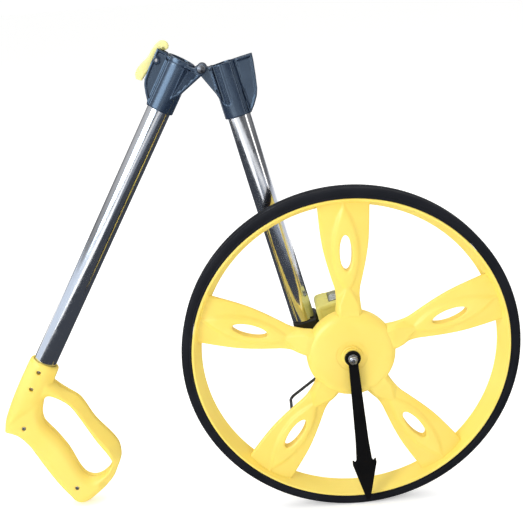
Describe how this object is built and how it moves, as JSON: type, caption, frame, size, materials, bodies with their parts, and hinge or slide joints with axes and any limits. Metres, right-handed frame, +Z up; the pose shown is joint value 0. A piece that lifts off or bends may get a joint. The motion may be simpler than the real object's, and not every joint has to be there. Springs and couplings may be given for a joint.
{
  "type": "folding measuring wheel",
  "caption": "Folding distance measuring wheel: spoked wheel with a solid tyre, geared number counter, arrow pointer, hinged chrome tube handle with a latch, and a D-shaped hand grip.",
  "frame": {"origin": "on the ground plane, under the middle of the bounding box, half folded with the wheel and the hand grip standing on the ground", "axes": "+X the way the wheel rolls and the longest extent, +Z up, +Y from the pointer's side of the wheel towards the handle tubes and counter; the wheel's axle and every hinge lie along Y"},
  "size_m": [0.5076, 0.0962, 0.4575],
  "materials": {
    "yellow_plastic": "moulded, soft gloss",
    "khaki_plastic": "moulded, satin",
    "black_plastic": "moulded, satin gloss",
    "black_wire": "black coated steel wire",
    "black_sheet": "black coated steel sheet",
    "tyre_rubber": "solid rubber, matt",
    "chrome_tube": "polished",
    "steel": "zinc plated",
    "white_plastic": "moulded",
    "clear_pane": "clear, polished"
  },
  "bodies": {
    "lower_frame": {"axle": "steel", "front_nut": "steel", "front_washer": "steel", "rear_nut": "steel", "rear_washer": "steel", "plate_nut": "steel", "pointer_spacer": "yellow_plastic", "lower_tube": "chrome_tube", "lower_hinge": "black_plastic", "hinge_pin": "steel", "axle_bracket": "black_plastic", "counter_front_shell": "khaki_plastic", "counter_rear_shell": "khaki_plastic", "counter_window": "clear_pane", "housing_screw_1": "steel", "housing_screw_2": "steel", "housing_screw_3": "steel", "housing_screw_4": "steel", "idler_pin": "steel", "pinion_shaft": "steel"},
    "wheel": {"wheel_spokes": "yellow_plastic", "tyre": "tyre_rubber", "front_bush": "yellow_plastic", "rear_bush": "steel", "hub_gear": "white_plastic"},
    "pointer": {"pointer": "black_sheet"},
    "bail": {"wire_bail": "black_wire"},
    "upper_frame": {"upper_hinge": "black_plastic", "upper_tube": "chrome_tube", "handle_front_shell": "yellow_plastic", "handle_rear_shell": "yellow_plastic", "handle_screw_1": "steel", "handle_screw_2": "steel", "handle_screw_3": "steel", "handle_screw_4": "steel", "latch_pin": "steel", "latch_spring": "steel"},
    "latch": {"latch_lever": "yellow_plastic"},
    "idler": {"idler_gear": "white_plastic"},
    "reset": {"drum_shaft": "steel", "reset_knob": "black_plastic"},
    "drum_1": {"number_drum_1": "white_plastic", "drum_gear": "white_plastic"},
    "drum_2": {"number_drum_2": "white_plastic"},
    "drum_3": {"number_drum_3": "white_plastic"},
    "drum_4": {"number_drum_4": "white_plastic"},
    "drum_5": {"number_drum_5": "white_plastic"},
    "pinion_1": {"carry_pinion_1": "white_plastic"},
    "pinion_2": {"carry_pinion_2": "white_plastic"},
    "pinion_3": {"carry_pinion_3": "white_plastic"},
    "pinion_4": {"carry_pinion_4": "white_plastic"}
  },
  "joints": [
    {"name": "wheel_spin", "type": "hinge", "parent": "lower_frame", "child": "wheel", "pos_m": [0.0945, -0.02255, 0.15915], "axis": [0, 1, 0], "continuous": true},
    {"name": "pointer_swing", "type": "hinge", "parent": "lower_frame", "child": "pointer", "pos_m": [0.0945, -0.02255, 0.15915], "axis": [0, 1, 0], "continuous": true},
    {"name": "bail_swing", "type": "hinge", "parent": "lower_frame", "child": "bail", "pos_m": [0.0945, -0.02255, 0.15915], "axis": [0, 1, 0], "range_deg": [-156, 93]},
    {"name": "fold_hinge", "type": "hinge", "parent": "lower_frame", "child": "upper_frame", "pos_m": [-0.0225, 0.01345, 0.42812], "axis": [0, 1, 0], "range_deg": [-30, 136.6]},
    {"name": "latch_press", "type": "hinge", "parent": "upper_frame", "child": "latch", "pos_m": [-0.06151, 0.01345, 0.43872], "axis": [0, -1, 0], "range_deg": [0, 20], "stiffness_Nm_per_rad": 0.3, "springref_deg": -8.59, "deforming": ["latch_spring"]},
    {"name": "idler_spin", "type": "hinge", "parent": "lower_frame", "child": "idler", "pos_m": [0.0909, -0.00405, 0.17474], "axis": [0, 1, 0], "continuous": true},
    {"name": "reset_turn", "type": "hinge", "parent": "lower_frame", "child": "reset", "pos_m": [0.0873, 0.01195, 0.19033], "axis": [0, 1, 0], "continuous": true},
    {"name": "drum_1_spin", "type": "hinge", "parent": "lower_frame", "child": "drum_1", "pos_m": [0.0873, 0.01195, 0.19033], "axis": [0, 1, 0], "continuous": true},
    {"name": "drum_2_spin", "type": "hinge", "parent": "lower_frame", "child": "drum_2", "pos_m": [0.0873, 0.01195, 0.19033], "axis": [0, 1, 0], "continuous": true},
    {"name": "drum_3_spin", "type": "hinge", "parent": "lower_frame", "child": "drum_3", "pos_m": [0.0873, 0.01195, 0.19033], "axis": [0, 1, 0], "continuous": true},
    {"name": "drum_4_spin", "type": "hinge", "parent": "lower_frame", "child": "drum_4", "pos_m": [0.0873, 0.01195, 0.19033], "axis": [0, 1, 0], "continuous": true},
    {"name": "drum_5_spin", "type": "hinge", "parent": "lower_frame", "child": "drum_5", "pos_m": [0.0873, 0.01195, 0.19033], "axis": [0, 1, 0], "continuous": true},
    {"name": "pinion_1_spin", "type": "hinge", "parent": "lower_frame", "child": "pinion_1", "pos_m": [0.10025, 0.01195, 0.18224], "axis": [0, 1, 0], "continuous": true},
    {"name": "pinion_2_spin", "type": "hinge", "parent": "lower_frame", "child": "pinion_2", "pos_m": [0.10025, 0.01195, 0.18224], "axis": [0, 1, 0], "continuous": true},
    {"name": "pinion_3_spin", "type": "hinge", "parent": "lower_frame", "child": "pinion_3", "pos_m": [0.10025, 0.01195, 0.18224], "axis": [0, 1, 0], "continuous": true},
    {"name": "pinion_4_spin", "type": "hinge", "parent": "lower_frame", "child": "pinion_4", "pos_m": [0.10025, 0.01195, 0.18224], "axis": [0, 1, 0], "continuous": true}
  ],
  "couplings": [
    {"joint": "idler_spin", "follows": "wheel_spin", "ratio": -1},
    {"joint": "drum_1_spin", "follows": "wheel_spin", "ratio": 1},
    {"joint": "drum_2_spin", "follows": "wheel_spin", "ratio": 0.1},
    {"joint": "drum_3_spin", "follows": "wheel_spin", "ratio": 0.01},
    {"joint": "drum_4_spin", "follows": "wheel_spin", "ratio": 0.001},
    {"joint": "drum_5_spin", "follows": "wheel_spin", "ratio": 0.0001},
    {"joint": "pinion_1_spin", "follows": "wheel_spin", "ratio": -0.25},
    {"joint": "pinion_2_spin", "follows": "wheel_spin", "ratio": -0.025},
    {"joint": "pinion_3_spin", "follows": "wheel_spin", "ratio": -0.0025},
    {"joint": "pinion_4_spin", "follows": "wheel_spin", "ratio": -0.00025}
  ]
}
